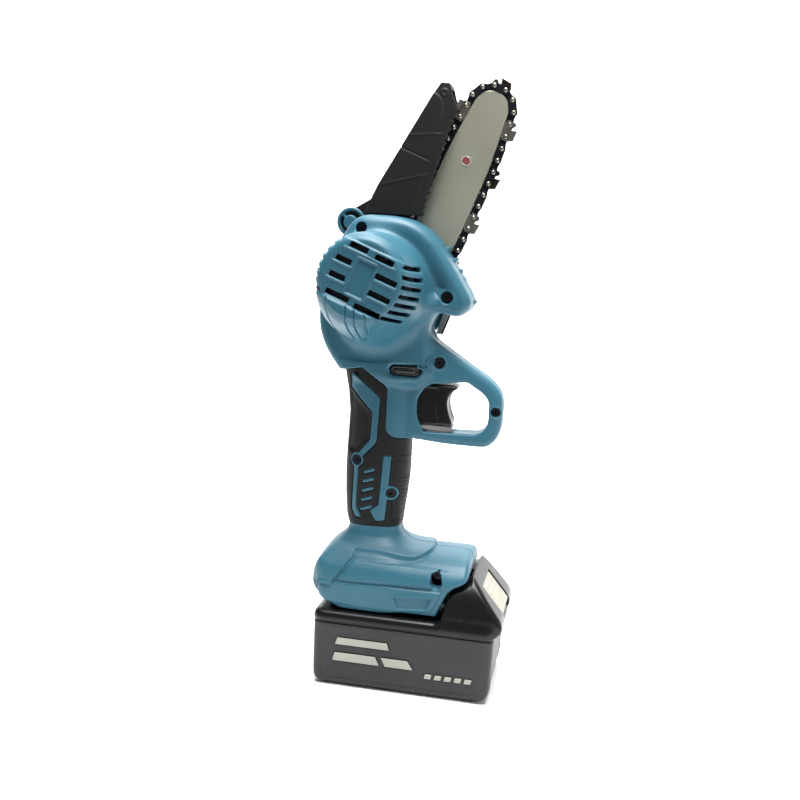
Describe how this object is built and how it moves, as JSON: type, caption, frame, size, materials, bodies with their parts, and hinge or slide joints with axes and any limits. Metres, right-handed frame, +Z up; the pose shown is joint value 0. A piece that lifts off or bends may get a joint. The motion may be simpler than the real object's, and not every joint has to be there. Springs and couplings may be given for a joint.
{
  "type": "cordless pruning chainsaw",
  "caption": "One-hand battery chainsaw: guide bar and chain under a hinged upper guard, a geared motor in the head, a trigger with a finger loop, and a slide-on battery that it stands on.",
  "frame": {"origin": "centre of the flat underside of the battery, on which the saw stands", "axes": "+Z up along the handle, +X forward to the trigger guard, +Y to the bar and sprocket cover side"},
  "size_m": [0.1318, 0.106, 0.3901],
  "materials": {
    "housing_blue": "moulded satin teal-blue",
    "grip_rubber": "matte near-black overmould",
    "black_plastic": "satin black moulding",
    "grey_plastic": "charcoal grey moulding",
    "cream_plastic": "cream moulding",
    "bar_paint": "satin warm grey",
    "red_paint": "dull red",
    "steel": "bare steel",
    "dark_steel": "blue-black oxide",
    "copper": "copper",
    "brass": "brass",
    "board_green": "solder mask"
  },
  "bodies": {
    "housing": {"housing_near": "housing_blue", "housing_far": "housing_blue", "grip_near": "grip_rubber", "grip_far": "grip_rubber", "screw_head_rear": "dark_steel", "screw_head_nose": "dark_steel", "screw_trigger": "dark_steel", "screw_loop": "dark_steel", "screw_handle_rear": "dark_steel", "screw_handle_front": "dark_steel", "screw_foot": "dark_steel", "motor_can": "dark_steel", "motor_magnet_lower": "dark_steel", "motor_magnet_upper": "dark_steel", "motor_bearing_rear": "steel", "motor_bearing_front": "steel", "gear_plate": "steel", "output_bearing": "steel", "bar_stud": "steel", "sprocket_cover": "housing_blue", "guard_pivot_ring": "housing_blue", "guard_pivot_pin": "steel", "guard_spring": "steel", "trigger_spring": "steel", "switch_body": "black_plastic", "control_board": "board_green", "lead_positive": "red_paint", "lead_negative": "black_plastic", "terminal_block": "black_plastic", "blade_positive": "brass", "blade_negative": "brass"},
    "rotor": {"rotor_core": "copper", "rotor_shaft": "steel", "motor_fan": "black_plastic", "rotor_pinion": "steel"},
    "output": {"output_gear": "steel", "output_shaft": "steel", "drive_sprocket": "dark_steel", "sprocket_clip": "steel"},
    "bar": {"guide_bar": "bar_paint", "saw_chain": "dark_steel", "nose_axle": "bar_paint", "nose_rivet": "red_paint", "tension_peg": "steel"},
    "nose": {"nose_sprocket": "steel"},
    "guard": {"upper_guard": "black_plastic"},
    "trigger": {"trigger": "black_plastic", "trigger_foot": "steel"},
    "lock": {"lock_button": "black_plastic"},
    "nut": {"bar_nut": "black_plastic"},
    "adjuster": {"tension_screw": "steel"},
    "battery": {"battery_lower_case": "grey_plastic", "battery_upper_case": "black_plastic", "cell_pack": "cream_plastic", "battery_board": "board_green", "contact_positive": "copper", "contact_negative": "copper"},
    "release": {"release_button": "cream_plastic", "latch_hook": "black_plastic"}
  },
  "joints": [
    {"name": "output_spin", "type": "hinge", "parent": "housing", "child": "output", "pos_m": [-0.01623, 0, 0.25043], "axis": [0, 1, 0], "continuous": true, "deforming": ["saw_chain"]},
    {"name": "rotor_spin", "type": "hinge", "parent": "housing", "child": "rotor", "pos_m": [-0.03097, 0, 0.26417], "axis": [0, 1, 0], "continuous": true},
    {"name": "bar_tension", "type": "slide", "parent": "housing", "child": "bar", "axis": [0.3633, 0, 0.9317], "range_m": [-0.003, 0.003]},
    {"name": "nose_spin", "type": "hinge", "parent": "bar", "child": "nose", "pos_m": [0.0307, 0, 0.3708], "axis": [0, 1, 0], "continuous": true},
    {"name": "guard_swing", "type": "hinge", "parent": "housing", "child": "guard", "pos_m": [-0.0539, 0, 0.2973], "axis": [0, -1, 0], "range_deg": [0, 50], "stiffness_Nm_per_rad": 0.03, "springref_deg": -17.19, "deforming": ["guard_spring"]},
    {"name": "trigger_pull", "type": "slide", "parent": "housing", "child": "trigger", "axis": [-1, 0, 0], "range_m": [0, 0.006], "stiffness_N_per_m": 500, "springref_m": -0.004, "deforming": ["trigger_spring"]},
    {"name": "lock_push", "type": "slide", "parent": "housing", "child": "lock", "axis": [0, 1, 0], "range_m": [0, 0.004], "stiffness_N_per_m": 300, "springref_m": -0.003},
    {"name": "nut_turn", "type": "hinge", "parent": "housing", "child": "nut", "pos_m": [-0.00642, 0, 0.27558], "axis": [0, 1, 0], "continuous": true},
    {"name": "adjuster_turn", "type": "hinge", "parent": "housing", "child": "adjuster", "pos_m": [-0.0515, 0, 0.23], "axis": [0, 1, 0], "continuous": true},
    {"name": "battery_slide", "type": "slide", "parent": "housing", "child": "battery", "axis": [1, 0, 0], "range_m": [0, 0.1]},
    {"name": "release_push", "type": "slide", "parent": "battery", "child": "release", "axis": [0.6561, 0, -0.7547], "range_m": [0, 0.004], "stiffness_N_per_m": 500, "springref_m": -0.003}
  ],
  "couplings": [
    {"joint": "rotor_spin", "follows": "output_spin", "ratio": -3},
    {"joint": "nose_spin", "follows": "output_spin", "ratio": 0.66667}
  ]
}
